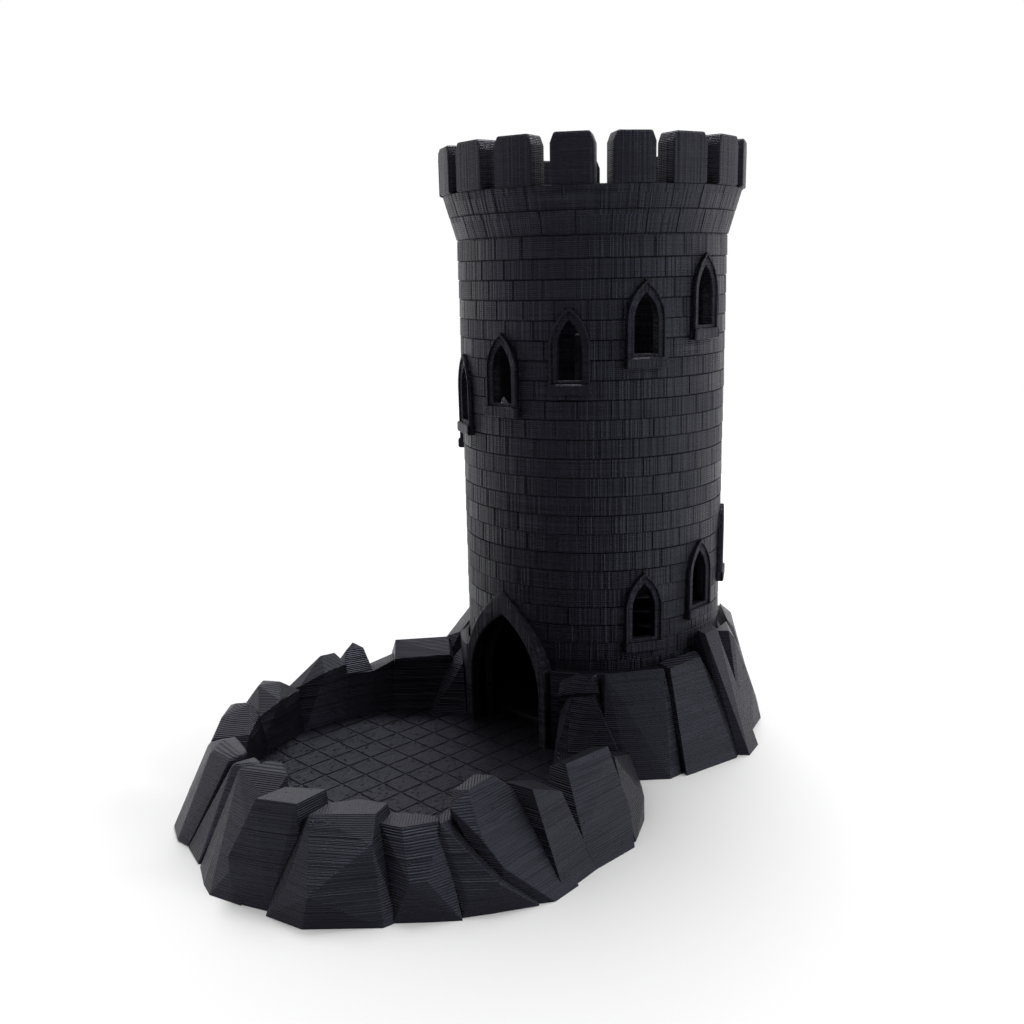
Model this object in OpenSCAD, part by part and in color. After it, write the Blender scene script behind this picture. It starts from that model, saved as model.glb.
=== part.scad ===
// Castle dice tower. Three loose pieces: a rock base with a round tray, a brick tower that
// stands in a socket of the base, and a spiral stair that stands inside the tower.
// Millimetres, +Z up. The origin is on the tower's axis, on the surface that the base rests on.
// The door faces -Y, and a bearing is an angle from +X, counter-clockwise seen from above.

/* [Tower shaft] */
// Outer diameter of the brick shaft
shaft_d = 92; // [88:1:94]
// Thickness of the shaft's wall
wall = 3; // [2.4:0.2:3.6]
// Height of one brick course
course_h = 6.2; // [5.8:0.1:6.4]
// Courses from the shaft's foot to the corbel
courses = 27; // [27:1:28]

/* [Crown] */
// How far the corbel overhangs the shaft
corbel_out = 4.5; // [3:0.5:6]
// Height of the two corbel courses together
corbel_h = 14.3; // [12:0.1:16]
// Number of merlons
merlons_n = 17; // [12:1:18]
// Width of a merlon
merlon_w = 13.2; // [10:0.2:13.4]
// Height of a merlon
merlon_h = 14.7; // [10:0.1:18]
// How far a merlon's face stands out from the corbel
merlon_proud = 0.6; // [0:0.1:1]
// Bearing of the first merlon
merlon_bearing = 8.8; // [0:0.1:20]

/* [Windows] */
// Number of windows up the spiral
windows_n = 14; // [1:1:14]
// Turn from one window to the next
window_turn = 30; // [30:1:36]
// Rise from one window to the next
window_rise = 7.8; // [7:0.1:7.9]
// Turn from the door to the first window
window_start = 63; // [60:1:70]
// Height of the first window's sill
first_sill = 40.8; // [38:0.2:44]
// Width of a window's opening
window_w = 8; // [6:0.2:9]
// Height of a window's opening
window_h = 19.2; // [16:0.2:20]
// Width of the moulding round a window
moulding_w = 2.5; // [1.5:0.1:3]
// How far the moulding stands out from the bricks
moulding_out = 1.2; // [0.6:0.1:1.6]
// How far the moulding is let into the wall
moulding_in = 1.5; // [1:0.1:2]

/* [Door] */
// Width of the doorway
door_w = 33.2; // [28:0.2:34]
// Height of the doorway's point above the floor
door_h = 43.6; // [38:0.2:46]
// Width of the portal's frame at the jambs
portal_w = 3.4; // [2.4:0.2:4]
// Height of the portal's point above the floor
portal_h = 52.3; // [50:0.1:56]
// Height above the floor at which the arches spring
spring_h = 17; // [12:1:20]
// How far the portal's face stands out past the shaft
portal_out = 0.8; // [0.4:0.1:2]

/* [Spiral stair] */
// Number of treads
treads_n = 32; // [8:4:32]
// Turn of one tread
tread_turn = 15; // [12:1:15]
// Rise of one tread
tread_rise = 3.91; // [3.5:0.01:4]
// Thickness of the stair under a tread
stair_thick = 3; // [2:0.5:4]
// Turn from the door to the first tread
stair_start = 20; // [16:1:24]
// Diameter of the newel post
newel_d = 12; // [8:1:16]
// Clearance between the stair and the shaft's bore
stair_gap = 0.5; // [0.4:0.1:1]

/* [Base] */
// Thickness of the base's floor
floor_t = 3; // [2:0.5:4]
// Radius of the tray between the feet of its rocks
tray_r = 58; // [56:1:60]
// Offset of the tray's centre from the tower's axis to the side
tray_x = 4; // [2:1:6]
// Distance of the tray's centre in front of the tower's axis
tray_y = 91; // [89:1:93]
// Width of one flagstone with its joint
flag = 9.3; // [8:0.1:12]
// Width of the joint between flagstones
joint_w = 0.8; // [0.6:0.1:1.2]
// Depth of the joint between flagstones
joint_t = 0.5; // [0.3:0.1:1]
// Height of the socket that the tower stands in
socket_h = 28; // [20:1:30]
// Thickness of the socket's wall
socket_t = 3; // [2:0.5:4]
// Clearance round the shaft in its socket
socket_gap = 0.6; // [0.4:0.1:1]

/* [Hidden] */
RIM = ["rim_rock_01", "rim_rock_02", "rim_rock_03", "rim_rock_04", "rim_rock_05", "rim_rock_06",
    "rim_rock_07", "rim_rock_08", "rim_rock_09", "rim_rock_10", "rim_rock_11", "rim_rock_12",
    "rim_rock_13", "rim_rock_14", "rim_rock_15", "rim_rock_16", "rim_rock_17"];
SKIRT = ["skirt_rock_01", "skirt_rock_02", "skirt_rock_03", "skirt_rock_04", "skirt_rock_05",
    "skirt_rock_06", "skirt_rock_07", "skirt_rock_08", "skirt_rock_09", "skirt_rock_10"];
GATE = ["gate_rock_left", "gate_rock_right", "gate_boulder", "gate_ledge", "gate_stone"];
FLIGHTS = ["stair_flight_1", "stair_flight_2", "stair_flight_3", "stair_flight_4",
    "stair_flight_5", "stair_flight_6", "stair_flight_7", "stair_flight_8"];

ROCK = "#232326";
BRICK = "#1c1c1f";
STEP = "#29292d";
$fn = 96;

shaft_r = shaft_d / 2;
bore_r = shaft_r - wall;
stair_r = bore_r - stair_gap;
newel_r = newel_d / 2;
door_bearing = -90;
course_shift = 0.11;
shaft_top = floor_t + (courses + course_shift) * course_h;
crown_z = shaft_top + corbel_h;
socket_r = shaft_r + socket_gap;
tray_centre = [tray_x, -tray_y];
floor_r = tray_r + 3;
treads_per_flight = 4;
stair_edge = 35;
through = 1;
beyond = 5;
arc_steps = 8;
sill_drop = 4;
stair_base = floor_t + stair_thick;
joint_shift = 1;
point_growth = 1.5;
newel_over = 2;
tread_reach = 1.2;
window_spring = 0.55 * window_h;

// The tray's rocks, in order round it from the left of the door. Each corner is a bearing about
// the tray's centre, a distance out from the tray's radius, and a height above the rest surface.
TRAY_ROCKS = [
    [[122, 2, 0], [150, 2, 0], [124, 22, 0], [149, 22, 0], [123, 3, 17], [127, 1, 24],
        [147, 1, 23], [129, 10, 28], [146, 8, 28], [131, 15, 22], [147, 14, 21]],
    [[146, 2, 0], [160, 2, 0], [147, 20, 0], [159, 18, 0], [147, 3, 22], [159, 2, 17],
        [147, 10, 22], [159, 11, 17]],
    [[155, 1, 0], [169, 1, 0], [156, 21, 0], [170, 21, 0], [155, 1, 19], [166, 1, 20],
        [157, 6, 27], [160, 8, 29], [163, 6, 27], [167, 12, 17], [156, 12, 17]],
    [[165, 1, 0], [184, 1, 0], [166, 22, 0], [184, 22, 0], [165, 0, 24], [174, -1, 23],
        [167, 6, 27], [172, 6, 27], [182, 3, 19], [184, 10, 16], [167, 14, 19]],
    [[184, 0, 0], [210, 1, 0], [182, 22, 0], [200, 22, 0], [186, -2, 20], [199, -5, 21],
        [208, -2, 18], [191, 2, 24], [197, 6, 24], [193, 8, 24], [186, 10, 18], [201, 9, 18]],
    [[200, 0, 0], [232, 0, 0], [202, 20, 0], [226, 16, 0], [206, 8, 21], [206, 2, 22],
        [210, -3, 19], [221, -4, 17], [204, 12, 19], [213, 9, 19], [222, 8, 16]],
    [[228, 0, 0], [256, 0, 0], [234, 15, 0], [245, 18, 0], [252, 18, 0], [256, 16, 0],
        [244, 1, 26], [244, -3, 26], [257, -4, 26], [259, -2, 26], [258, 2, 25], [249, 5, 25],
        [241, 5, 24], [229, 6, 16], [230, -2, 18]],
    [[250, -1, 0], [264, -1, 0], [256, 16, 0], [265, 17, 0], [260, -5, 25], [265, -5, 25],
        [261, 2, 25.5], [266, 0, 24]],
    [[263, -1, 0], [285, 0, 0], [266, 17, 0], [273, 21, 0], [277, 23, 0], [285, 22, 0],
        [265, 2, 25], [268, -6, 26], [272, -8, 26], [279, -5, 25], [281, 4, 21], [282, 14, 12]],
    [[280, -1, 0], [298, -1, 0], [283, 22, 0], [291, 21, 0], [284, 12, 26.5], [286, 3, 26.5],
        [297, 0, 26.5], [294, 10, 26.5], [280, 19, 11], [296, 14, 12]],
    [[291, -2, 0], [318, -2, 0], [291.5, 23, 0], [300, 25.5, 0], [314.5, 22.5, 0], [317, 20, 0],
        [297, 10, 24], [299, 2.5, 24], [306, -1, 24], [314, 1, 24], [312, 7, 24],
        [290, 8, 15], [295.5, 21.5, 8], [301, 24, 8.5], [312, 14, 19]],
    [[312, -2, 0], [331, -1, 0], [316, 20.5, 0], [323, 21, 0], [329, 22, 0], [313, 7.5, 21.5],
        [315, 1.5, 21.5], [321, 2.5, 21.5], [326, 5, 21.5], [326.5, 8, 21.5], [318, 10, 21.5],
        [319.5, 19, 10], [322.5, 20.2, 4], [326, 13.5, 14], [323, 18.5, 10]],
    [[326, -1, 0], [342, -1, 0], [324, 14, 0], [329, 21, 0], [334.5, 21.5, 0], [344, 23.5, 0],
        [326.5, 9.5, 21.5], [327, 5, 21.5], [330, 1, 21.5], [338, 2, 21.5], [324, 14, 7],
        [330.5, 20.3, 4.5], [336.5, 20.8, 8], [337, 14, 10]],
    [[332, -1, 0], [356, -1, 0], [337, 20, 0], [347, 24, 0], [354, 21.5, 0], [334, 5.5, 28],
        [343, 0.5, 28.2], [339, -4, 27.5], [349, 3.5, 22.3], [350, 9.5, 15.3], [331, 3, 27.5],
        [329, 8, 25], [335, 15, 17.4], [338, 19, 11], [343.5, 21.6, 4.6]],
    [[347, 0, 0], [363, 0, 0], [350, 22, 0], [361, 19, 0], [347, 0, 25], [357, -1, 22],
        [350, 8, 25], [359, 8, 21]],
    [[358, 0, 0], [379, 0, 0], [361, 19, 0], [373, 21, 0], [365, -2, 23], [382, 2, 23],
        [366, 3, 25], [381, 8, 25], [360, 16, 6], [377, 17, 9]],
    [[374, 1, 0], [402, 4, 0], [375, 20, 0], [385, 18, 0], [403, 15, 0], [382, 4, 22],
        [396, 2, 16], [381, 10, 22], [401, 11, 12], [388, 17, 6]]];

// The rocks round the tower's foot. Each corner is a bearing about the tower's axis, a distance
// out from the shaft's wall, and a height.
TOWER_ROCKS = [
    [[-45, 2, 0], [-20, 2, 0], [-38, 21, 0], [-27, 23, 0], [-20, 20, 0], [-46, 4, 29], [-22, 3.5, 32],
        [-44, 7, 32], [-22, 7, 32], [-45, 15, 12]],
    [[-22, 2, 0], [-1, 2, 0], [-22, 23, 0], [-19, 20, 0], [-3, 22, 0], [-1, 21, 0], [-22, 3.5, 33],
        [-3, 3.5, 34], [-20, 8, 32], [-5, 7, 33], [0, 13, 18]],
    [[-4, 2, 0], [14, 2, 0], [-1, 21, 0], [1, 24, 0], [9, 22, 0], [-2, 3.5, 41],
        [8, 3.5, 41], [-1, 6, 40], [7, 6, 40], [11, 11, 20], [12, 16, 9]],
    [[7, 2, 0], [38, 2, 0], [10, 16, 0], [20, 16, 0], [30, 17, 0], [10, 3.5, 38],
        [28, 3.5, 37], [13, 8, 38], [16, 9, 35], [22, 10, 28], [25, 14, 14], [30, 15, 8]],
    [[30, 2, 0], [66, 2, 0], [34, 16, 0], [60, 19, 0], [31, 3.5, 37], [54, 3.5, 37],
        [38, 4, 36], [34, 6, 33], [54, 8, 33], [60, 14, 18]],
    [[60, 2, 0], [98, 2, 0], [62, 20, 0], [80, 23, 0], [95, 20, 0], [62, 3.5, 34],
        [92, 3.5, 36], [66, 9, 32], [90, 8, 34], [78, 16, 20]],
    [[93, 2, 0], [128, 2, 0], [95, 21, 0], [112, 24, 0], [125, 20, 0], [96, 3.5, 41],
        [122, 3.5, 35], [98, 8, 38], [120, 9, 33], [110, 17, 18]],
    [[122, 2, 0], [160, 2, 0], [124, 20, 0], [142, 23, 0], [157, 21, 0], [126, 3.5, 32],
        [154, 3.5, 38], [128, 8, 31], [152, 8, 35], [140, 16, 19]],
    [[155, 2, 0], [192, 2, 0], [157, 21, 0], [176, 24, 0], [190, 21, 0], [158, 3.5, 33],
        [188, 3.5, 33], [161, 9, 31], [186, 9, 31], [175, 17, 17]],
    [[187, 2, 0], [232, 2, 0], [189, 20, 0], [210, 23, 0], [230, 20, 0], [192, 3.5, 34],
        [228, 3.5, 31], [196, 8, 32], [224, 9, 28], [212, 16, 18]]];

// The rocks on both sides of the door, about the tower's axis.
DOOR_ROCKS = [
    [[228, 2, 0], [244, 4, 0], [230, 16, 0], [238, 18, 0], [232, 3.5, 26], [240, 4, 22],
        [234, 9, 20]],
    [[-64, 4, 0], [-48, 2, 0], [-62, 12, 0], [-54, 15, 0], [-60, 5, 22], [-54, 3.5, 27],
        [-56, 9, 24]],
    [[-56, 5, 0], [-40, 2, 0], [-56, 17, 8], [-41, 18, 9], [-56, 8, 24], [-48, 10, 25],
        [-46, 4, 26], [-50, 17, 0], [-42, 18, 0]],
    [[-62, 13, 0], [-36, 10, 0], [-60, 26, 0], [-36, 24, 0], [-60, 14, 8], [-38, 12, 9],
        [-58, 24, 7], [-38, 22, 8]],
    [[-62, 4, 0], [-43, 2, 0], [-61, 7, 24], [-52, 8.5, 26], [-46, 8, 26], [-61, 4, 28],
        [-54, 4, 31], [-47, 3.5, 31], [-58, 6.5, 27], [-49, 6, 30]]];

ALL_ROCKS = concat([for (r = TRAY_ROCKS) [0, r]], [for (r = TOWER_ROCKS) [1, r]],
    [for (r = DOOR_ROCKS) [1, r]]);
tower_rock_0 = len(TRAY_ROCKS);
door_rock_0 = tower_rock_0 + len(TOWER_ROCKS);
reach = 48;

// The place of a rock's corner: ring 0 is the tray, ring 1 the tower.
function place(ring, c) =
    let (centre = ring == 0 ? tray_centre : [0, 0], r = (ring == 0 ? tray_r : shaft_r) + c[1])
    [centre.x + r * cos(c[0]), centre.y + r * sin(c[0]), c[2]];

function corners(i) = [for (c = ALL_ROCKS[i][1]) place(ALL_ROCKS[i][0], c)];

function middle(points) = [for (a = [0:1]) let (v = [for (p = points) p[a]]) (min(v) + max(v)) / 2];

// A pointed arch standing on z = 0: straight jambs to the spring, then an arc on each side to
// the point.
module lancet(w, h, spring) {
    rise = h - spring;
    r = (rise * rise + w * w / 4) / w;
    turn = asin(rise / r);
    arc = [for (k = [0:arc_steps]) let (a = k * turn / arc_steps)
        [w / 2 - r + r * cos(a), spring + r * sin(a)]];
    mirrored = [for (k = [arc_steps - 1:-1:0]) [-arc[k].x, arc[k].y]];
    polygon(concat([[w / 2, 0]], arc, mirrored, [[-w / 2, 0]]));
}

// A lancet cut or raised on a wall: it runs from radius r0 to r1 at a bearing and a height.
module lancet_block(w, h, spring, r0, r1, bearing, z) {
    rotate([0, 0, bearing + 90])
        translate([0, -r0, z])
            rotate([90, 0, 0])
                linear_extrude(r1 - r0) lancet(w, h, spring);
}

function window_bearing(i) = door_bearing + window_start + i * window_turn;
function sill(i) = first_sill + i * window_rise;

module window_hole(i) {
    lancet_block(window_w, window_h, window_spring, bore_r / 2, shaft_r + beyond,
        window_bearing(i), sill(i));
}

module moulding_block(i, r_out) {
    lancet_block(window_w + 2 * moulding_w, window_h + point_growth * moulding_w + sill_drop,
        window_spring + sill_drop, shaft_r - moulding_in, r_out, window_bearing(i),
        sill(i) - sill_drop);
}

module tube(r_out, r_in, z0, z1) {
    difference() {
        translate([0, 0, z0]) cylinder(r = r_out, h = z1 - z0);
        translate([0, 0, z0 - through]) cylinder(r = r_in, h = z1 - z0 + 2 * through);
    }
}

module shaft() {
    color(BRICK)
    difference() {
        tube(shaft_r, bore_r, floor_t, shaft_top);
        lancet_block(door_w, door_h + through, spring_h + through, bore_r / 2, shaft_r + beyond,
            door_bearing, floor_t - through);
        for (i = [0:windows_n - 1]) {
            window_hole(i);
            moulding_block(i, shaft_r + beyond);
        }
    }
}

module corbel() {
    color(BRICK)
    rotate_extrude()
        polygon([[bore_r, shaft_top], [shaft_r, shaft_top],
            [shaft_r + corbel_out / 2, shaft_top + corbel_h / 2],
            [shaft_r + corbel_out, crown_z], [bore_r, crown_z]]);
}

module merlons() {
    side_cut = 1.2;
    top_cut = 3;
    half = merlon_w / 2;
    color(BRICK)
    for (i = [0:merlons_n - 1])
        rotate([0, 0, merlon_bearing + i * 360 / merlons_n])
            translate([bore_r, 0, crown_z])
                rotate([90, 0, 90])
                    linear_extrude(shaft_r + corbel_out + merlon_proud - bore_r)
                        polygon([[-half, 0], [half, 0], [half, merlon_h - top_cut],
                            [half - side_cut, merlon_h], [side_cut - half, merlon_h],
                            [-half, merlon_h - top_cut]]);
}

module door_portal() {
    color(BRICK)
    difference() {
        lancet_block(door_w + 2 * portal_w, portal_h, spring_h, bore_r / 2,
            shaft_r + portal_out, door_bearing, floor_t);
        lancet_block(door_w, door_h + through, spring_h + through, 0, shaft_r + beyond,
            door_bearing, floor_t - through);
        translate([0, 0, floor_t - through]) cylinder(r = shaft_r, h = portal_h + 2 * through);
    }
}

// The mouldings round the windows, each let a little way into the wall.
module window_surrounds() {
    color(BRICK)
    for (i = [0:windows_n - 1])
        difference() {
            moulding_block(i, shaft_r + moulding_out);
            window_hole(i);
        }
}

module stair_foot() {
    color(STEP)
    difference() {
        translate([0, 0, floor_t]) cylinder(r = stair_r, h = stair_thick);
        translate([-shaft_r, -shaft_r - stair_edge, 0]) cube([shaft_d, shaft_r, shaft_r]);
    }
}

module newel_post() {
    color(STEP)
    translate([0, 0, stair_base])
        cylinder(r = newel_r, h = (treads_n + newel_over) * tread_rise);
}

// A wedge of the stair's plan.
module tread_plan(turn) {
    far = tread_reach * stair_r;
    polygon([[0, 0], [far, 0], [far * cos(turn), far * sin(turn)]]);
}

// Four treads of the stair: each runs from the newel to the bore, one rise above the last, and
// laps a little way under the next.
module flight(first) {
    lap = 1;
    last = (first + 1) * treads_per_flight - 1;
    color(STEP)
    intersection() {
        tube(stair_r, newel_r, 0, crown_z);
        for (i = [first * treads_per_flight:last]) {
            top = stair_base + (i + 1) * tread_rise;
            low = max(stair_base, top - tread_rise - stair_thick);
            rotate([0, 0, door_bearing + stair_start + i * tread_turn])
                translate([0, 0, low])
                    linear_extrude(top - low) tread_plan(tread_turn + (i < last ? lap : 0));
        }
    }
}

// The tray's floor, with the joints between its flagstones cut into it.
module tray_floor() {
    lines = ceil(floor_r / flag);
    color(ROCK)
    difference() {
        translate(tray_centre) cylinder(r = floor_r, h = floor_t);
        for (i = [-lines:lines]) {
            translate([i * flag - joint_w / 2, -tray_y - floor_r, floor_t - joint_t])
                cube([joint_w, 2 * floor_r, floor_t]);
            translate([tray_x - floor_r, i * flag - tray_y - joint_w / 2 - joint_shift,
                    floor_t - joint_t])
                cube([2 * floor_r, joint_w, floor_t]);
        }
    }
}

module tray_slab() {
    translate([tray_x, -tray_y, -through]) cylinder(r = floor_r, h = floor_t + through);
}

// The plate under the tower, and the wall round its foot, open in front of the door.
module tower_socket() {
    gap = door_w + 2 * portal_w + 2 * socket_gap;
    color(ROCK)
    difference() {
        union() {
            cylinder(r = socket_r + socket_t, h = floor_t);
            difference() {
                tube(socket_r + socket_t, socket_r, floor_t, floor_t + socket_h);
                translate([-gap / 2, -shaft_d, floor_t]) cube([gap, shaft_d, shaft_d]);
            }
        }
        tray_slab();
    }
}

module boulder(i) {
    points = corners(i);
    hull() polyhedron(points, [[for (k = [0:len(points) - 1]) k]]);
}

// A rock, less the rocks after it that lean on it, the tray's floor and the tower's socket.
module rock(i) {
    color(ROCK)
    difference() {
        boulder(i);
        for (j = [i + 1:1:len(ALL_ROCKS) - 1])
            if (norm(middle(corners(i)) - middle(corners(j))) < reach) boulder(j);
        tray_slab();
        translate([0, 0, -through])
            cylinder(r = socket_r + socket_t, h = floor_t + socket_h + through);
    }
}

tray_floor();
tower_socket();
shaft();
corbel();
merlons();
door_portal();
window_surrounds();
stair_foot();
newel_post();
flight(0);  // stair_flight_1
flight(1);  // stair_flight_2
flight(2);  // stair_flight_3
flight(3);  // stair_flight_4
flight(4);  // stair_flight_5
flight(5);  // stair_flight_6
flight(6);  // stair_flight_7
flight(7);  // stair_flight_8
rock(0);  // rim_rock_01
rock(1);  // rim_rock_02
rock(2);  // rim_rock_03
rock(3);  // rim_rock_04
rock(4);  // rim_rock_05
rock(5);  // rim_rock_06
rock(6);  // rim_rock_07
rock(7);  // rim_rock_08
rock(8);  // rim_rock_09
rock(9);  // rim_rock_10
rock(10);  // rim_rock_11
rock(11);  // rim_rock_12
rock(12);  // rim_rock_13
rock(13);  // rim_rock_14
rock(14);  // rim_rock_15
rock(15);  // rim_rock_16
rock(16);  // rim_rock_17
rock(tower_rock_0 + 0);  // skirt_rock_01
rock(tower_rock_0 + 1);  // skirt_rock_02
rock(tower_rock_0 + 2);  // skirt_rock_03
rock(tower_rock_0 + 3);  // skirt_rock_04
rock(tower_rock_0 + 4);  // skirt_rock_05
rock(tower_rock_0 + 5);  // skirt_rock_06
rock(tower_rock_0 + 6);  // skirt_rock_07
rock(tower_rock_0 + 7);  // skirt_rock_08
rock(tower_rock_0 + 8);  // skirt_rock_09
rock(tower_rock_0 + 9);  // skirt_rock_10
rock(door_rock_0 + 0);  // gate_rock_left
rock(door_rock_0 + 1);  // gate_rock_right
rock(door_rock_0 + 2);  // gate_boulder
rock(door_rock_0 + 3);  // gate_ledge
rock(door_rock_0 + 4);  // gate_stone
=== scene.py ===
import math
import random

import bmesh
import bpy
from mathutils import Matrix, Vector


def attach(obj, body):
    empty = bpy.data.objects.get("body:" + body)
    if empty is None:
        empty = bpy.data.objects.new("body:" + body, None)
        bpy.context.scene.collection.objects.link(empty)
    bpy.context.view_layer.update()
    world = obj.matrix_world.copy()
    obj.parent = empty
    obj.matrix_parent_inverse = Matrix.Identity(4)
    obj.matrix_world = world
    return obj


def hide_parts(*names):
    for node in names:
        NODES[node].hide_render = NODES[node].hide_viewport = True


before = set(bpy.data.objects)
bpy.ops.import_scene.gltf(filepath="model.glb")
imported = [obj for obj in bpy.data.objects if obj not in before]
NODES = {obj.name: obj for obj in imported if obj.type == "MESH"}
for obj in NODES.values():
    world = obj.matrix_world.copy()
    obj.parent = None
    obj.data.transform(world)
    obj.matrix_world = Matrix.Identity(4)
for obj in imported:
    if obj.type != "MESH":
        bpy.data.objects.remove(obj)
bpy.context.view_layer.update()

MM = 0.001
random.seed(7)

# ---------------------------------------------------------------- sizes, in millimetres
SHAFT_R = 46.0
BORE_R = 43.0
FLOOR_Z = 3.0
COURSE = 6.2
COURSES = 27
SHAFT_TOP = FLOOR_Z + (COURSES + 0.11) * COURSE
CORBEL_H = 14.3
CORBEL_OUT = 4.5
CROWN_Z = SHAFT_TOP + CORBEL_H

# Brickwork: joints between bricks, and how far a brick's face leans and stands proud.
BRICKS = 27
JOINT_BEARING = -27.4
BED_DEEP = 0.36
UPRIGHT_DEEP = 0.22
JOINT_MOUTH = 0.26
JOINT_FOOT = 0.1
LEAN = 0.14
SUNK, PROUD = -0.05, 0.09
FACE_BACK = 0.1

# Windows climb the wall in a spiral. Their frames and sills are bedded in it at BEDDED_R.
WINDOWS = 14
FIRST_BEARING = -27
NEXT_BEARING = 30
FIRST_SILL = 40.8
NEXT_SILL = 7.8
WINDOW_W = 8.0
WINDOW_H = 19.2
WINDOW_SPRING = 0.55 * WINDOW_H
WINDOW_LIP = 0.6
SILL_HALF = 6.9
SILL_DROP = 4.0
SILL_TOP = 0.5
SILL_NOSE = 48.0
SILL_ROUND = 0.35
BEDDED_R = 44.6

DOOR_W = 33.2
DOOR_H = 43.6
PORTAL_W = 3.4
PORTAL_H = 52.3
PORTAL_BACK = 36.5
PORTAL_FRONT = SHAFT_R + 0.8
PORTAL_SPRING = 17.0

# The flagstones' joints, as deep as in the CAD part and as worn.
JOINT_CUT = 0.5
JOINT_SHOWN = 0.3

MERLONS = 17
MERLON_W = 13.2
MERLON_H = 14.7
MERLON_BEARING = 8.8
MERLON_OUT = SHAFT_R + CORBEL_OUT + 0.6
MERLON_SIDE_CUT = 1.2
MERLON_TOP_CUT = 3.0


def window_bearing(i):
    return math.radians(FIRST_BEARING + NEXT_BEARING * i)


def sill(i):
    return FIRST_SILL + NEXT_SILL * i


# ---------------------------------------------------------------- materials
class Nodes:
    """Short calls for building a node tree."""

    def __init__(self, tree):
        self.tree = tree

    def add(self, kind, **values):
        """A node. Each value sets the node's property of that name, or else its input."""
        node = self.tree.nodes.new(kind)
        for key, value in values.items():
            if hasattr(node, key):
                setattr(node, key, value)
            else:
                node.inputs[key.replace("_", " ")].default_value = value
        return node

    def link(self, out, into):
        self.tree.links.new(out, into)

    def value(self, thing, socket):
        """Puts a number or another node's output into a socket."""
        if isinstance(thing, (int, float)):
            socket.default_value = thing
        else:
            self.link(thing, socket)

    def math(self, operation, a, b=0.0, c=0.0):
        node = self.add("ShaderNodeMath", operation=operation)
        for thing, socket in zip((a, b, c), node.inputs):
            self.value(thing, socket)
        return node.outputs[0]

    def plus(self, a, b):
        return self.math("ADD", a, b)

    def times(self, a, b):
        return self.math("MULTIPLY", a, b)

    def blend(self, amount, a, b):
        node = self.add("ShaderNodeMix")
        self.value(amount, node.inputs[0])
        self.value(a, node.inputs[2])
        self.value(b, node.inputs[3])
        return node.outputs[0]

    def split(self, vector):
        """A vector's x, y and z."""
        node = self.add("ShaderNodeSeparateXYZ")
        self.link(vector, node.inputs[0])
        return node.outputs

    def joined(self, x, y):
        node = self.add("ShaderNodeCombineXYZ")
        self.link(x, node.inputs[0])
        self.link(y, node.inputs[1])
        return node.outputs[0]

    def stretched(self, place, scale, turn=0.0):
        node = self.add("ShaderNodeMapping", Scale=scale, Rotation=(0, 0, turn))
        self.link(place, node.inputs["Vector"])
        return node.outputs[0]

    def noise(self, place, into="Vector", **values):
        node = self.add("ShaderNodeTexNoise", **values)
        self.link(place, node.inputs[into])
        return node.outputs["Fac"]

    def ramp(self, thing, low, high, start=0.0, end=1.0, curve="SMOOTHSTEP"):
        """Goes from start to end while the thing goes from low to high."""
        node = self.add("ShaderNodeMapRange", interpolation_type=curve, From_Min=low,
                        From_Max=high, To_Min=start, To_Max=end)
        self.link(thing, node.inputs["Value"])
        return node.outputs[0]


def layer_ridges(n, place, height, layer):
    """Fine lines: one ridge to each layer on walls, steps on slopes, swaths on level tops."""
    step, swath = 0.3, 1.1
    x, y, z = n.split(place)
    walls = n.math("SINE", n.times(height, 2 * math.pi / (layer * MM)))
    slopes = n.math("SINE", n.times(height, 2 * math.pi / (step * MM)))
    tops = n.math("SINE", n.times(n.plus(x, y), 2 * math.pi / (swath * MM)))
    # A wall's ridges grow and fade slowly along the surface.
    fade = n.noise(n.stretched(place, (0.35, 0.35, 4.0)), Scale=160.0, Detail=3.0)
    walls = n.times(walls, n.math("MULTIPLY_ADD", fade, 1.2, -0.1))
    normal = n.add("ShaderNodeNewGeometry").outputs["True Normal"]
    upward = n.math("ABSOLUTE", n.split(normal)[2])
    sloping = n.ramp(upward, 0.6, 0.85)
    level = n.math("GREATER_THAN", upward, 0.985)
    ridges = n.blend(sloping, walls, n.times(slopes, 0.8))
    return n.blend(level, ridges, n.times(tops, 0.25))


def ringing_marks(n, place):
    """Upright ripples round the wall, ghosts that fade out after each joint, and a gloss
    that differs from brick to brick."""
    x, y, z = n.split(place)
    angle = n.math("ARCTAN2", y, x)
    course = n.math("FLOOR", n.math("DIVIDE", n.math("SUBTRACT", z, FLOOR_Z * MM),
                                    COURSE * MM))
    ripple = n.noise(n.joined(n.times(angle, 30.0), n.times(course, 0.37)),
                     noise_dimensions="2D", Scale=1.0, Detail=2.5, Roughness=0.65)
    # Bricks from the first joint, a third of a brick further on in each course.
    turn = n.times(n.math("SUBTRACT", angle, math.radians(JOINT_BEARING)),
                   BRICKS / (2 * math.pi))
    third = n.math("DIVIDE", course, 3.0)
    along = n.math("FRACT", n.plus(n.plus(turn, 2.0 * BRICKS), third))
    wave = n.math("COSINE", n.times(along, 2 * math.pi * 8))
    decay = n.math("EXPONENT", n.times(along, -3.2))
    ghost = n.times(n.times(wave, decay), 0.42)
    chance = n.add("ShaderNodeTexWhiteNoise", noise_dimensions="2D")
    n.link(n.joined(n.math("FLOOR", n.plus(turn, third)), course), chance.inputs["Vector"])
    gloss = n.math("MULTIPLY_ADD", chance.outputs["Value"], 0.16, -0.08)
    return ripple, ghost, gloss


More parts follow.
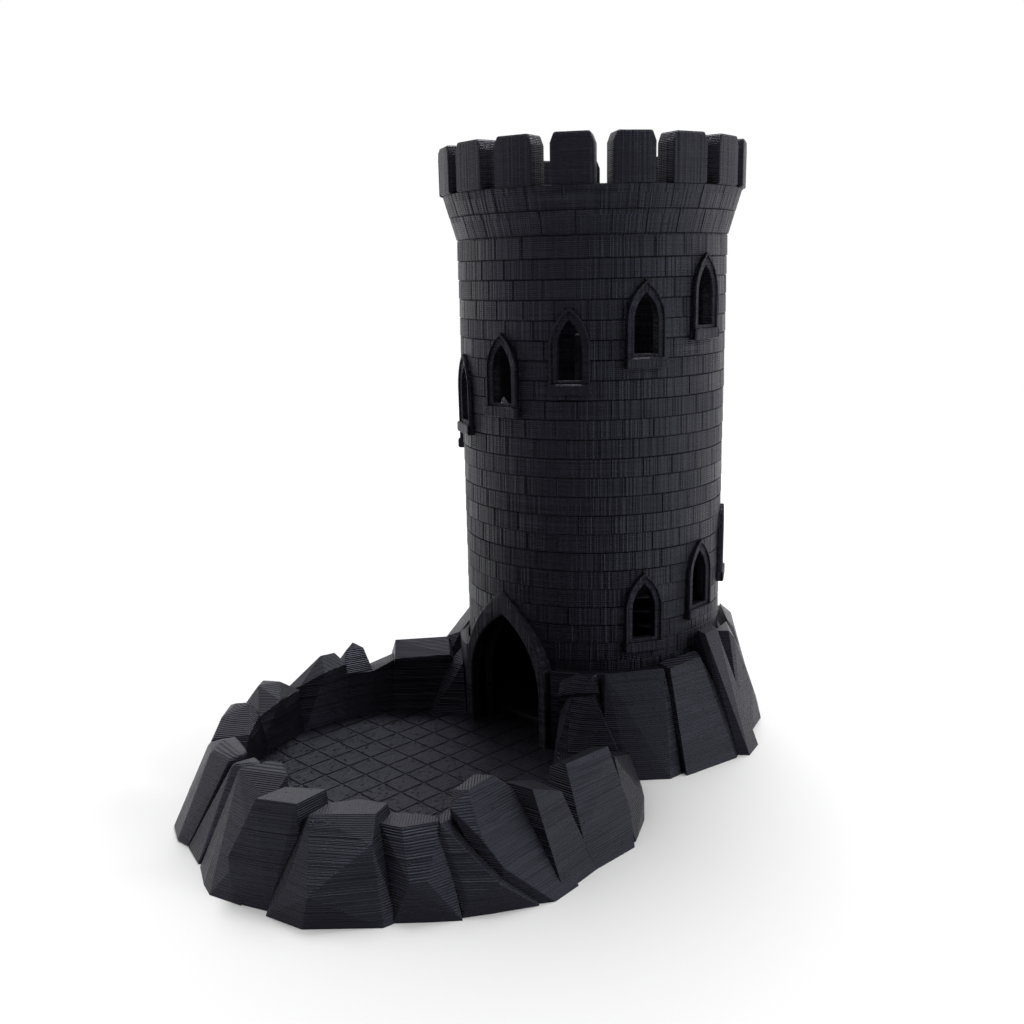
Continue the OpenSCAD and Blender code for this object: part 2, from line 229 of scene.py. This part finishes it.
def printed(name, colour, roughness=0.46, layer=0.62, lines=1.0, ringing=0.0, grain=0.3,
            streaks=0.0, raster=0.0, specks=0.0, shine=0.33):
    """Black printed plastic: layer lines along Z, uneven layers and the plastic's grain, and
    where a piece has them ringing, upright streaks, a raster and specks."""
    depth, spread = 0.2, 0.35
    material = bpy.data.materials.new(name)
    material.use_nodes = True
    n = Nodes(material.node_tree)
    shader = material.node_tree.nodes["Principled BSDF"]
    place = n.add("ShaderNodeTexCoord").outputs["Object"]

    wobble = n.noise(place, Scale=70.0, Detail=2.0)
    height = n.plus(n.split(place)[2], n.times(wobble, 0.25 * MM))
    ridges = layer_ridges(n, place, height, layer)
    # Uneven layers: bands a few layers high.
    bands = n.noise(n.times(height, 900.0), "W", noise_dimensions="1D", Scale=1.0, Detail=3.0,
                    Roughness=0.7)
    dust = n.noise(place, Scale=1500.0, Detail=4.0, Roughness=0.6)

    # Scuffs: patches that are a little lighter and rougher.
    patch = n.noise(place, Scale=45.0, Detail=5.0, Roughness=0.6)
    rough = n.math("MULTIPLY_ADD", patch, 0.22, roughness - 0.11)

    relief = n.times(ridges, 0.5 * lines)
    relief = n.plus(relief, n.times(bands, 1.1 * lines))
    relief = n.plus(relief, n.times(dust, grain))
    if ringing:
        ripple, ghost, gloss = ringing_marks(n, place)
        relief = n.plus(relief, n.times(ripple, ringing))
        relief = n.plus(relief, ghost)
        rough = n.plus(rough, gloss)
    if streaks:
        # Upright streaks, which follow the print head's wobble.
        streak = n.noise(n.stretched(place, (900, 900, 12)), Scale=1.0, Detail=2.0)
        relief = n.plus(relief, n.times(streak, streaks))
    if raster:
        # The top layer's lines, laid at 45 degrees.
        diagonal = n.stretched(place, (1500, 160, 1), math.radians(45))
        line = n.noise(diagonal, Scale=1.0, Detail=3.0, Roughness=0.6)
        relief = n.plus(relief, n.times(line, raster))
    if specks:
        # Sparse specks of stray plastic.
        blots = n.noise(place, Scale=600.0, Detail=2.0, Roughness=0.5)
        speck = n.ramp(blots, 0.76 - 0.04 * specks, 0.88 - 0.04 * specks)
        relief = n.plus(relief, n.times(speck, specks))
    bump = n.add("ShaderNodeBump", Strength=1.0, Distance=depth * MM)
    n.link(relief, bump.inputs["Height"])
    n.link(bump.outputs[0], shader.inputs["Normal"])

    # Colour: a little lighter on some layers and where the plastic is scuffed.
    mixed = n.plus(n.times(patch, 0.6), n.times(bands, 0.4))
    shades = n.add("ShaderNodeValToRGB")
    low, high = shades.color_ramp.elements
    low.position, high.position = 0.3, 0.7
    low.color = (*[c * (1 - spread) for c in colour], 1)
    high.color = (*[c * (1 + spread) for c in colour], 1)
    n.link(mixed, shades.inputs[0])
    n.link(shades.outputs[0], shader.inputs["Base Color"])
    n.link(rough, shader.inputs["Roughness"])
    shader.inputs["Specular IOR Level"].default_value = shine
    shader.inputs["Specular Tint"].default_value = (0.72, 0.72, 1.0, 1)
    return material


BRICK = printed("brick_print", (0.0046, 0.0046, 0.0066), ringing=4.2, lines=1.1)
TRIM = printed("trim_print", (0.0050, 0.0050, 0.0070), layer=0.5, lines=1.5, streaks=4.0)
ROCK = printed("rock_print", (0.0050, 0.0049, 0.0072), roughness=0.40, layer=0.6, lines=1.5,
               grain=0.8, specks=2.0)
FLAG = printed("flagstone_print", (0.0058, 0.0058, 0.0080), roughness=0.38, lines=0.3,
               grain=2.0, raster=4.5, specks=4.0, shine=0.4)
STAIR = printed("stair_print", (0.0055, 0.0055, 0.0072), layer=0.5, lines=0.7)


# ---------------------------------------------------------------- mesh helpers
def new_object(name, vertices, faces, material, body, slot, replaces=(), sharp=28):
    """A mesh from corners in millimetres, riding on a body and standing for CAD nodes."""
    mesh = bpy.data.meshes.new(name)
    mesh.from_pydata([tuple(c * MM for c in v) for v in vertices], [], faces)
    mesh.validate()
    return finish_object(bpy.data.objects.new(name, mesh), material, body, replaces,
                         sharp)


def finish_object(piece, material, body, replaces=(), sharp=28):
    """Puts a piece in the scene with its material, shading and body."""
    bpy.context.scene.collection.objects.link(piece)
    mesh = piece.data
    bm = bmesh.new()
    bm.from_mesh(mesh)
    bmesh.ops.recalc_face_normals(bm, faces=bm.faces)
    bm.to_mesh(mesh)
    bm.free()
    mesh.materials.clear()
    mesh.materials.append(material)
    mesh.shade_smooth()
    mesh.set_sharp_from_angle(angle=math.radians(sharp))
    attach(piece, body)
    if replaces:
        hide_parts(*replaces)
    return piece


def polar(r, a, z):
    """A point at radius r, bearing a and height z."""
    return (r * math.cos(a), r * math.sin(a), z)


def apply_modifiers(piece):
    """Turns a piece's modifiers into its mesh."""
    graph = bpy.context.evaluated_depsgraph_get()
    mesh = bpy.data.meshes.new_from_object(piece.evaluated_get(graph))
    piece.modifiers.clear()
    piece.data = mesh


def clean(piece, gap=0.004):
    """Merges corners closer than the gap and drops the slivers between them."""
    bm = bmesh.new()
    bm.from_mesh(piece.data)
    bmesh.ops.remove_doubles(bm, verts=bm.verts, dist=gap * MM)
    bmesh.ops.dissolve_degenerate(bm, dist=gap * MM, edges=bm.edges)
    loose = [v for v in bm.verts if not v.link_faces]
    bmesh.ops.delete(bm, geom=loose, context="VERTS")
    bm.to_mesh(piece.data)
    bm.free()


def ring_grid(angles, rows):
    """A closed tube through rows round the axis, the last row joined to the first. A row
    holds its height, and one radius or a list with a radius for each angle."""
    wide, high = len(angles), len(rows)
    vertices = [polar(row[1][i] if isinstance(row[1], list) else row[1], a, row[0])
                for row in rows for i, a in enumerate(angles)]
    faces = []
    for k in range(high):
        up = (k + 1) % high
        for i in range(wide):
            j = (i + 1) % wide
            faces.append((k * wide + i, k * wide + j, up * wide + j, up * wide + i))
    return vertices, faces


# ---------------------------------------------------------------- brickwork
def brick_tube(z0, heights, radius):
    """Courses of bricks round the tower as one closed tube. radius(z) is the wall's face.
    Each course's joints stand a third of a brick round from those of the course below."""
    joints = 3 * BRICKS
    step = 2 * math.pi / joints
    start = math.radians(JOINT_BEARING)
    angles, line_of = [], []
    for j in range(joints):
        for offset, deep in ((-JOINT_MOUTH, False), (-JOINT_FOOT, True), (JOINT_FOOT, True),
                             (JOINT_MOUTH, False)):
            angles.append(start + j * step + offset / SHAFT_R)
            line_of.append((j, deep))
    rows = []
    z = z0
    for course, high in enumerate(heights):
        phase = -course % 3
        proud = [random.uniform(SUNK, PROUD) for _ in range(BRICKS)]
        for up, bed in ((0.0, True), (JOINT_FOOT, True), (JOINT_MOUTH, False),
                        (high - 0.18, False), (high - 0.02, True)):
            # Each course leans out a little towards its foot.
            face = radius(z + up) + LEAN * (1 - up / high)
            ring = []
            for j, deep in line_of:
                r = face + proud[((j - phase) // 3) % BRICKS]
                if bed:
                    r = face - BED_DEEP
                elif deep and j % 3 == phase:
                    r = face - UPRIGHT_DEEP
                ring.append(r)
            rows.append((z + up, ring))
        z += high
    rows += [(z, radius(z) - BED_DEEP), (z, BORE_R), (z0, BORE_R)]
    return ring_grid(angles, rows)


def lancet(w, h, spring, drop=0.0, steps=14):
    """Outline of a pointed arch, from its right foot over the point to its left foot."""
    rise = h - spring
    r = (rise * rise + w * w / 4) / w
    turn = math.asin(rise / r)
    side = [(w / 2 - r + r * math.cos(k * turn / steps), spring + r * math.sin(k * turn / steps))
            for k in range(steps + 1)]
    return [(w / 2, -drop)] + side + [(-x, z) for x, z in side[-2::-1]] + [(-w / 2, -drop)]


def turned(x, depth, z, bearing):
    """A point x to the side and depth out from the axis on a wall facing a bearing."""
    c, s = math.cos(bearing), math.sin(bearing)
    return (depth * c - x * s, depth * s + x * c, z)


def lancet_prism(w, h, spring, bearing, z, near, steps=14):
    """A solid pointed arch through the wall, from near the axis to beyond the wall's face."""
    beyond = 56
    outline = lancet(w, h, spring, steps=steps)
    count = len(outline)
    vertices = [turned(x, d, z + up, bearing) for d in (near, beyond) for x, up in outline]
    faces = [tuple(range(count)), tuple(range(2 * count - 1, count - 1, -1))]
    for i in range(count):
        j = (i + 1) % count
        faces.append((i, i + count, j + count, j))
    return vertices, faces


def join_parts(parts):
    """Several shapes, each its corners and faces, as one."""
    vertices, faces = [], []
    for more, polygons in parts:
        base = len(vertices)
        vertices += more
        faces += [tuple(base + i for i in f) for f in polygons]
    return vertices, faces


def build_shaft():
    heights = [COURSE] * COURSES
    heights[-1] = SHAFT_TOP - FLOOR_Z - COURSE * (COURSES - 1)
    vertices, faces = brick_tube(FLOOR_Z, heights, lambda z: SHAFT_R - FACE_BACK)
    shaft = new_object("brick_shaft", vertices, faces, BRICK, "tower", "brick_print",
                       ["shaft"])
    cuts = [lancet_prism(WINDOW_W, WINDOW_H, WINDOW_SPRING, window_bearing(i), sill(i), 30)
            for i in range(WINDOWS)]
    # The doorway's cut starts 1 mm below the floor.
    cuts.append(lancet_prism(DOOR_W, DOOR_H + 1, PORTAL_SPRING + 1, -math.pi / 2,
                             FLOOR_Z - 1, 25, steps=24))
    cutter = new_object("cutter", *join_parts(cuts), BRICK, "tower", "brick_print")
    cut = shaft.modifiers.new("openings", "BOOLEAN")
    cut.operation, cut.solver, cut.object = "DIFFERENCE", "EXACT", cutter
    apply_modifiers(shaft)
    bpy.data.objects.remove(cutter)
    clean(shaft)
    shaft.data.set_sharp_from_angle(angle=math.radians(20))


def build_corbel():
    half = CORBEL_H / 2

    def radius(z):
        return SHAFT_R - FACE_BACK + CORBEL_OUT * (z - SHAFT_TOP) / CORBEL_H

    vertices, faces = brick_tube(SHAFT_TOP, [half, half], radius)
    new_object("brick_corbel", vertices, faces, BRICK, "tower", "brick_print", ["corbel"],
               sharp=20)


def block(sections):
    """A closed solid through rings of corners, each ring a list of points."""
    count = len(sections[0])
    vertices = [p for ring in sections for p in ring]
    faces = [tuple(range(count - 1, -1, -1)),
             tuple(range((len(sections) - 1) * count, len(sections) * count))]
    for k in range(len(sections) - 1):
        for i in range(count):
            j = (i + 1) % count
            faces.append((k * count + i, k * count + j, (k + 1) * count + j,
                          (k + 1) * count + i))
    return vertices, faces


def round_edges(piece, width, segments=2, angle=25):
    """Rounds the edges that turn by more than the angle."""
    bevel = piece.modifiers.new("edges", "BEVEL")
    bevel.width = width * MM
    bevel.segments = segments
    bevel.limit_method = "ANGLE"
    bevel.angle_limit = math.radians(angle)
    apply_modifiers(piece)
    clean(piece)
    piece.data.shade_smooth()
    piece.data.set_sharp_from_angle(angle=math.radians(40))


def build_merlons():
    parts = []
    half = MERLON_W / 2
    outline = [(-half, 0.0), (half, 0.0), (half, MERLON_H - MERLON_TOP_CUT),
               (half - MERLON_SIDE_CUT, MERLON_H), (MERLON_SIDE_CUT - half, MERLON_H),
               (-half, MERLON_H - MERLON_TOP_CUT)]
    for i in range(MERLONS):
        bearing = math.radians(MERLON_BEARING + i * 360 / MERLONS)
        rings = [[turned(x, d, CROWN_Z + up, bearing) for x, up in outline]
                 for d in (BORE_R, MERLON_OUT)]
        parts.append(block(rings))
    merlons = new_object("merlons_17", *join_parts(parts), TRIM, "tower", "brick_print",
                         ["merlons"])
    round_edges(merlons, 0.55)


def moulding(profile, w, h, spring, growth, bearing, z, drop, closed, steps):
    """A frame round a pointed opening. The profile holds points: how far out from the
    opening, how far from the axis, and how far its foot stands above the opening's. A closed
    frame runs on along the foot."""
    loops = []
    for out, depth, lip in profile:
        path = lancet(w + 2 * out, h + growth * out, spring, drop * out - lip, steps)
        loops.append([turned(x, depth, z + up, bearing) for x, up in path])
    count, rings = len(loops[0]), len(loops)
    vertices = [p for loop in loops for p in loop]
    faces = []
    for k in range(rings):
        nxt = (k + 1) % rings
        last = count if closed else count - 1
        for i in range(last):
            j = (i + 1) % count
            faces.append((k * count + i, k * count + j, nxt * count + j, nxt * count + i))
    if not closed:
        faces.append(tuple(k * count for k in range(rings)))
        faces.append(tuple(k * count + count - 1 for k in range(rings - 1, -1, -1)))
    return vertices, faces


def build_windows():
    profile = [(-0.02, 43.3, 0), (-0.02, 46.5, WINDOW_LIP), (0.18, 46.7, WINDOW_LIP),
               (1.75, 46.75, 0), (1.85, 47.15, 0), (2.0, 47.3, 0), (2.35, 47.3, 0),
               (2.5, 47.1, 0), (2.5, BEDDED_R, 0)]
    edge, foot = SILL_HALF, -SILL_DROP
    outline = [(-edge, foot + 0.3), (-edge + 0.5, foot), (edge - 0.5, foot),
               (edge, foot + 0.3), (edge, -2 * SILL_TOP), (edge - 0.4, -SILL_TOP),
               (-edge + 0.4, -SILL_TOP), (-edge, -2 * SILL_TOP)]
    parts = []
    for i in range(WINDOWS):
        bearing = window_bearing(i)
        parts.append(moulding(profile, WINDOW_W, WINDOW_H, WINDOW_SPRING, 1.5, bearing,
                              sill(i), 0.35, True, 14))
        rings = []
        for depth, inset in ((BEDDED_R, 0.0), (SILL_NOSE - SILL_ROUND, 0.0),
                             (SILL_NOSE, SILL_ROUND)):
            rings.append([turned(x * (1 - inset / SILL_HALF), depth,
                                 sill(i) + up + (inset if up < -2 else -inset), bearing)
                          for x, up in outline])
        parts.append(block(rings))
    new_object("window_mouldings", *join_parts(parts), TRIM, "tower", "brick_print",
               ["window_surrounds"], sharp=30)


def build_portal():
    front = PORTAL_FRONT
    growth = (PORTAL_H - DOOR_H) / PORTAL_W
    profile = [(0.0, PORTAL_BACK, 0), (0.0, front - 0.35, 0), (0.35, front, 0),
               (PORTAL_W - 0.4, front, 0), (PORTAL_W, front - 0.4, 0),
               (PORTAL_W, PORTAL_BACK, 0)]
    vertices, faces = moulding(profile, DOOR_W, DOOR_H, PORTAL_SPRING, growth, -math.pi / 2,
                               FLOOR_Z, 0.0, False, 24)
    new_object("door_arch", vertices, faces, TRIM, "tower", "brick_print", ["door_portal"],
               sharp=30)


# ---------------------------------------------------------------- rocks, tray and stair
def copied(node, name, material, body, bevel, segments=2, dissolve=2.0, angle=22,
           flat=False):
    """A piece from a CAD node's shape, with worn edges."""
    mesh = NODES[node].data.copy()
    piece = bpy.data.objects.new(name, mesh)
    bm = bmesh.new()
    bm.from_mesh(mesh)
    bmesh.ops.remove_doubles(bm, verts=bm.verts, dist=0.02 * MM)
    bmesh.ops.dissolve_limit(bm, angle_limit=math.radians(dissolve), verts=bm.verts,
                             edges=bm.edges)
    bmesh.ops.recalc_face_normals(bm, faces=bm.faces)
    bm.to_mesh(mesh)
    bm.free()
    finish_object(piece, material, body, [node], sharp=35)
    round_edges(piece, bevel, segments, angle)
    if flat:
        piece.data.shade_flat()
    return piece


def build_flagstones():
    """The tray's floor: the joints are worn shallow, and each flagstone has softened edges."""
    tray = copied("tray_floor", "tray_flagstones", FLAG, "base", 0.25,
                  flat=True)
    for corner in tray.data.vertices:
        if abs(corner.co.z / MM - (FLOOR_Z - JOINT_CUT)) < 0.1:
            corner.co.z = (FLOOR_Z - JOINT_SHOWN) * MM


def build_base():
    for node in sorted(NODES):
        if node.startswith(("rim_rock", "skirt_rock", "gate_")):
            copied(node, node + "_worn", ROCK, "base", 0.9, segments=3,
                   dissolve=1.5, angle=12, flat=True)
    build_flagstones()
    copied("tower_socket", "tower_socket_wall", ROCK, "base", 0.4)


def build_stair():
    for node in sorted(NODES):
        if node.startswith("stair_flight"):
            copied(node, node + "_treads", STAIR, "stair", 0.3)
    copied("newel_post", "newel_post_round", STAIR, "stair", 0.5)
    copied("stair_foot", "stair_foot_plate", STAIR, "stair", 0.3)


build_shaft()
build_corbel()
build_merlons()
build_windows()
build_portal()
build_base()
build_stair()


# ---------------------------------------------------------------- floor, light and camera
# The camera, as fitted to the object's outline: its bearing in degrees and its distances in
# metres, from the foot of the tower's axis, and its yaw, pitch and roll in radians.
VIEW_BEARING = -48.4
EYE_OUT = 0.39493
EYE_UP = 0.1613
EYE_YAW, EYE_PITCH, EYE_ROLL = -0.0754, 0.2624, -0.0231
LENS = 38.72
SHIFT_UP = 0.0521

FLOOR_REACH = 1.1
FLOOR_SIDES = 96

# How bright the light tent is on the viewer's side, and how much more it is overhead.
DIM_SIDE = 0.03
TOP_LIGHT = 0.5


def build_floor():
    mesh = bpy.data.meshes.new("floor")
    mesh.from_pydata([polar(FLOOR_REACH, 2 * math.pi * k / FLOOR_SIDES, 0)
                      for k in range(FLOOR_SIDES)], [], [tuple(range(FLOOR_SIDES))])
    floor = bpy.data.objects.new("floor", mesh)
    bpy.context.scene.collection.objects.link(floor)
    material = bpy.data.materials.new("floor_white")
    material.use_nodes = True
    shader = material.node_tree.nodes["Principled BSDF"]
    # Painted light: the floor's colour is painted paler further out, a painted brightening that
    # stands in for the light the far floor lacks, so that it runs into the white behind it.
    n = Nodes(material.node_tree)
    away = n.add("ShaderNodeVectorMath", operation="LENGTH")
    n.link(n.add("ShaderNodeTexCoord").outputs["Object"], away.inputs[0])
    painted_far_light = n.ramp(away.outputs["Value"], 0.35, 0.75, 0.8, 0.97, curve="LINEAR")
    # painted_far_light: the floor's base colour, painted paler with distance to stand in for
    # light.
    n.link(painted_far_light, shader.inputs["Base Color"])
    shader.inputs["Roughness"].default_value = 0.9
    mesh.materials.append(material)


def build_world():
    """A light tent: bright behind, at both sides and above, dim on the side it is seen from."""
    world = bpy.data.worlds.new("studio")
    world.use_nodes = True
    n = Nodes(world.node_tree)
    x, y, z = n.split(n.add("ShaderNodeTexCoord").outputs["Generated"])
    bearing = math.radians(VIEW_BEARING)
    facing = n.plus(n.times(x, math.cos(bearing)), n.times(y, math.sin(bearing)))
    around = n.ramp(facing, -0.35, 0.55, 1.0, DIM_SIDE)
    above = n.ramp(z, 0.45, 0.95, 0.0, TOP_LIGHT)
    background = world.node_tree.nodes["Background"]
    background.inputs[0].default_value = (1, 1, 1, 1)
    # The tent shapes the light only: behind the object there is plain white all round.
    seen = n.add("ShaderNodeLightPath").outputs["Is Camera Ray"]
    n.link(n.math("MAXIMUM", n.plus(around, above), seen), background.inputs[1])
    bpy.context.scene.world = world


def area_light(name, place, target, size, power):
    light = bpy.data.lights.new(name, "AREA")
    light.shape, light.size, light.energy = "DISK", size, power
    lamp = bpy.data.objects.new(name, light)
    bpy.context.scene.collection.objects.link(lamp)
    lamp.location = place
    aim = Vector(target) - Vector(place)
    lamp.rotation_euler = aim.to_track_quat("-Z", "Y").to_euler()


def build_camera():
    bearing = math.radians(VIEW_BEARING)
    forward = Vector((math.sin(EYE_YAW) * math.cos(EYE_PITCH),
                      math.cos(EYE_YAW) * math.cos(EYE_PITCH), -math.sin(EYE_PITCH)))
    level = Vector((math.cos(EYE_YAW), -math.sin(EYE_YAW), 0))
    down = forward.cross(level)
    right = level * math.cos(EYE_ROLL) - down * math.sin(EYE_ROLL)
    up = -(level * math.sin(EYE_ROLL) + down * math.cos(EYE_ROLL))
    camera = bpy.data.cameras.new("camera")
    camera.sensor_width = 36
    camera.lens = LENS
    camera.shift_y = SHIFT_UP
    camera.clip_start = 0.01
    eye = bpy.data.objects.new("camera", camera)
    bpy.context.scene.collection.objects.link(eye)
    # Yaw is counted from the line that runs from the eye's bearing to the tower's axis.
    swing = Matrix.Rotation(math.radians(90) + bearing, 3, "Z")
    axes = (swing @ Matrix((right, up, -forward)).transposed()).to_4x4()
    place = Vector((EYE_OUT * math.cos(bearing), EYE_OUT * math.sin(bearing), EYE_UP))
    eye.matrix_world = Matrix.Translation(place) @ axes
    bpy.context.scene.camera = eye


build_floor()
build_world()
area_light("top", (-0.35, 0.45, 1.1), (0, -0.05, 0.05), 0.6, 9)
area_light("right", (0.9, 0.35, 0.5), (0, -0.03, 0.08), 0.5, 4)
build_camera()
bpy.context.scene.view_settings.view_transform = "Standard"
